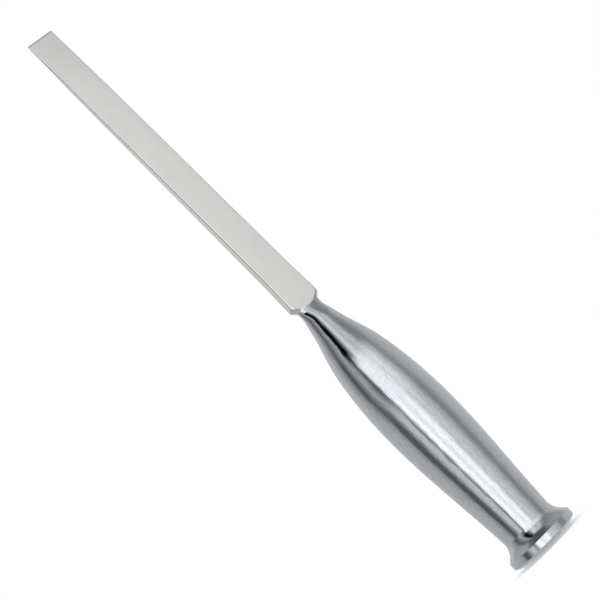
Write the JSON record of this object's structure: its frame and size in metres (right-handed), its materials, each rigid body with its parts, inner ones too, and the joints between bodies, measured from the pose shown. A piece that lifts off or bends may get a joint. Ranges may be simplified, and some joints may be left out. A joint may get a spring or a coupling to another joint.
{
  "type": "osteotome",
  "caption": "Straight osteotome: a slim double-bevelled steel blade with a sharp cutting edge, on a swelling turned grip that ends in a flared striking head",
  "frame": {"origin": "centre of the flat striking face in the middle of the rounded end, which the instrument stands on", "axes": "+Z runs along the axis from the striking face to the cutting edge, X is the width of the blade and Y is its thickness"},
  "size_m": [0.024, 0.024, 0.22],
  "materials": {
    "steel": "stainless steel, satin on the blade and polished on the grip"
  },
  "bodies": {
    "root": {"osteotome": "steel"}
  },
  "joints": []
}
